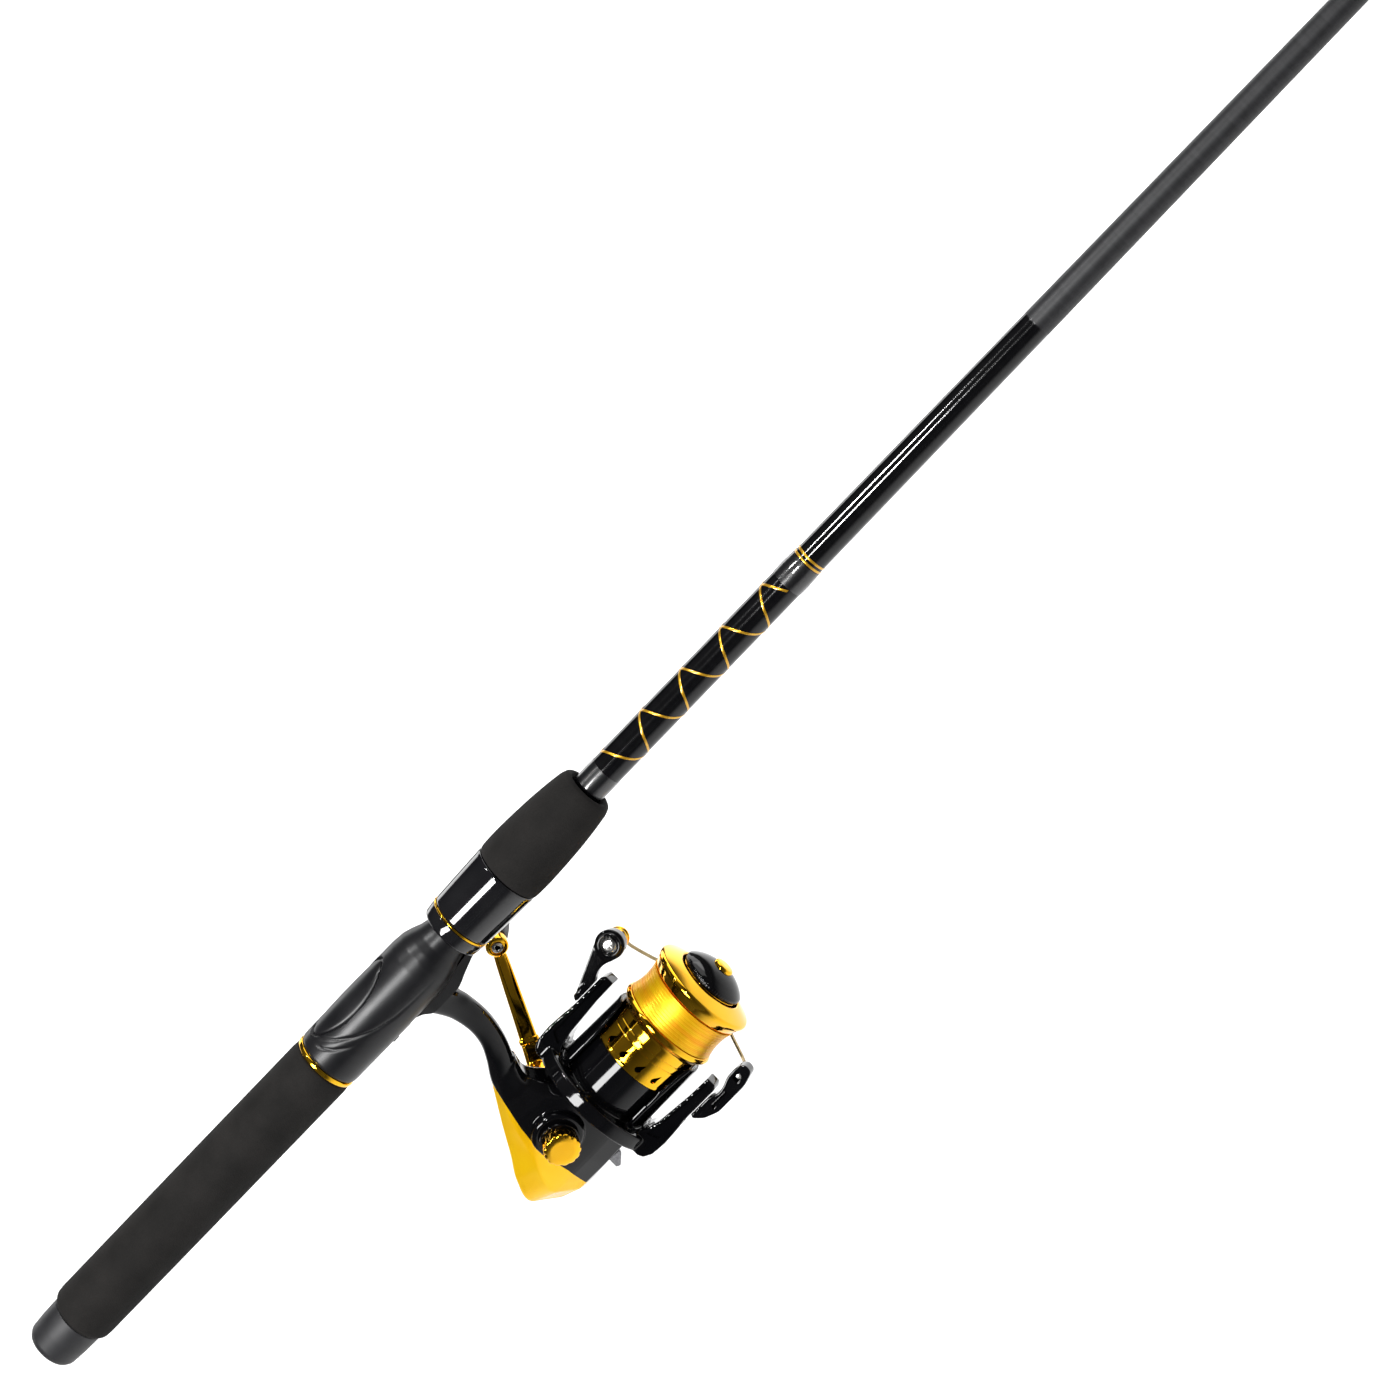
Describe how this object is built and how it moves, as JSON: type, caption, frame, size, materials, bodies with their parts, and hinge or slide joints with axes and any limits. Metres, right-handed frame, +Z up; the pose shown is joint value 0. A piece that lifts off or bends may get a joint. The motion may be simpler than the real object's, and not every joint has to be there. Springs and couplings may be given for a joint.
{
  "type": "fishing rod and spinning reel",
  "caption": "Long tapered rod with foam grips, screw-lock reel seat and ring guides, carrying a spinning reel with bail, skirted spool, drag knob and crank handle.",
  "frame": {"origin": "middle of the butt cap's flat end, on the rod's centre line", "axes": "+X along the rod from butt to tip, +Z up with the reel hanging on -Z, +Y on the crank side"},
  "size_m": [2.1403, 0.1163, 0.1712],
  "materials": {
    "eva_foam": "matte closed-cell foam with a fine grain",
    "satin_black": "satin graphite-filled plastic",
    "gloss_black": "gloss black lacquer",
    "blank_black": "clear-coated black fibre tube",
    "blank_grey": "unsanded dark grey fibre tube",
    "gold_plate": "polished gold plating",
    "gold_shell": "gold plated plastic",
    "gold_line": "yellow-gold nylon line",
    "steel": "polished stainless steel",
    "brass": "machined brass",
    "nylon": "natural nylon",
    "felt": "oiled felt",
    "soft_rubber": "satin rubber"
  },
  "bodies": {
    "rod": {"butt_cap": "soft_rubber", "rear_grip": "eva_foam", "rear_trim_ring": "gold_plate", "reel_seat": "satin_black", "thumb_pad": "soft_rubber", "blank_butt_section": "blank_black", "blank_tip_section": "blank_grey", "guide_1": "steel", "guide_2": "steel", "guide_3": "steel", "guide_4": "steel", "guide_5": "steel", "tip_top": "steel", "reel_body": "gloss_black", "side_cover": "gloss_black", "rear_shell": "gold_shell", "crank_bearing_left": "steel", "crank_bearing_right": "steel", "pinion_bearing": "steel", "roller_clutch": "steel"},
    "hood": {"sliding_hood": "satin_black", "hood_trim_ring": "gold_plate"},
    "grip_nut": {"lock_sleeve": "satin_black", "foregrip": "eva_foam"},
    "drive": {"drive_gear": "brass", "crank_arm": "gold_plate", "handle_screw_cap": "gold_plate"},
    "knob": {"crank_knob": "gloss_black", "crank_knob_cap": "gold_plate"},
    "oscillator": {"oscillation_gear": "nylon"},
    "rotor_group": {"rotor": "gloss_black", "pinion_gear": "brass", "rotor_nut": "brass"},
    "bail": {"bail_lever": "gloss_black", "bail_holder": "gloss_black", "bail_wire": "steel", "bail_wire_end": "gold_plate", "roller_screw": "steel"},
    "roller": {"line_roller": "steel"},
    "shaft": {"main_shaft": "steel", "oscillation_slider": "nylon"},
    "spool_group": {"spool": "gold_plate", "wound_line": "gold_line", "drag_washer_felt_inner": "felt", "drag_washer_steel": "steel", "drag_washer_felt_outer": "felt", "line_clip": "gold_plate"},
    "drag": {"drag_knob": "gloss_black"},
    "reverse_switch": {"anti_reverse_lever": "steel"}
  },
  "joints": [
    {"name": "crank_turn", "type": "hinge", "parent": "rod", "child": "drive", "pos_m": [0.227, 0, -0.102], "axis": [0, 1, 0], "continuous": true},
    {"name": "rotor_turn", "type": "hinge", "parent": "rod", "child": "rotor_group", "pos_m": [0.25, 0, -0.1108], "axis": [1, 0, 0], "continuous": true},
    {"name": "oscillation_turn", "type": "hinge", "parent": "rod", "child": "oscillator", "pos_m": [0.214, 0, -0.11089], "axis": [0, 1, 0], "continuous": true},
    {"name": "spool_stroke", "type": "slide", "parent": "rod", "child": "shaft", "axis": [1, 0, 0], "range_m": [-0.002, 0.012]},
    {"name": "spool_slip", "type": "hinge", "parent": "shaft", "child": "spool_group", "pos_m": [0.3, 0, -0.1108], "axis": [1, 0, 0], "continuous": true},
    {"name": "drag_adjust", "type": "hinge", "parent": "shaft", "child": "drag", "pos_m": [0.32, 0, -0.1108], "axis": [1, 0, 0], "range_deg": [0, 720]},
    {"name": "bail_swing", "type": "hinge", "parent": "rotor_group", "child": "bail", "pos_m": [0.2767, 0, -0.1108], "axis": [0, -0.5373, -0.8434], "range_deg": [0, 115]},
    {"name": "roller_spin", "type": "hinge", "parent": "bail", "child": "roller", "pos_m": [0.3015, 0.02289, -0.07487], "axis": [0, -0.8434, 0.5373], "continuous": true},
    {"name": "knob_spin", "type": "hinge", "parent": "drive", "child": "knob", "pos_m": [0.2598, 0.07, -0.0495], "axis": [0, 1, 0], "continuous": true},
    {"name": "anti_reverse_switch", "type": "hinge", "parent": "rod", "child": "reverse_switch", "pos_m": [0.2285, 0, -0.1324], "axis": [1, 0, 0], "range_deg": [-10, 10]},
    {"name": "hood_slide", "type": "slide", "parent": "rod", "child": "hood", "axis": [1, 0, 0], "range_m": [0, 0.014]},
    {"name": "foregrip_turn", "type": "hinge", "parent": "hood", "child": "grip_nut", "pos_m": [0.3, 0, 0], "axis": [1, 0, 0], "range_deg": [0, 2500]}
  ],
  "couplings": [
    {"joint": "rotor_turn", "follows": "crank_turn", "ratio": 4.1111},
    {"joint": "oscillation_turn", "follows": "crank_turn", "ratio": -0.52174},
    {"joint": "hood_slide", "follows": "foregrip_turn", "m_per_rad": 0.00031831}
  ]
}
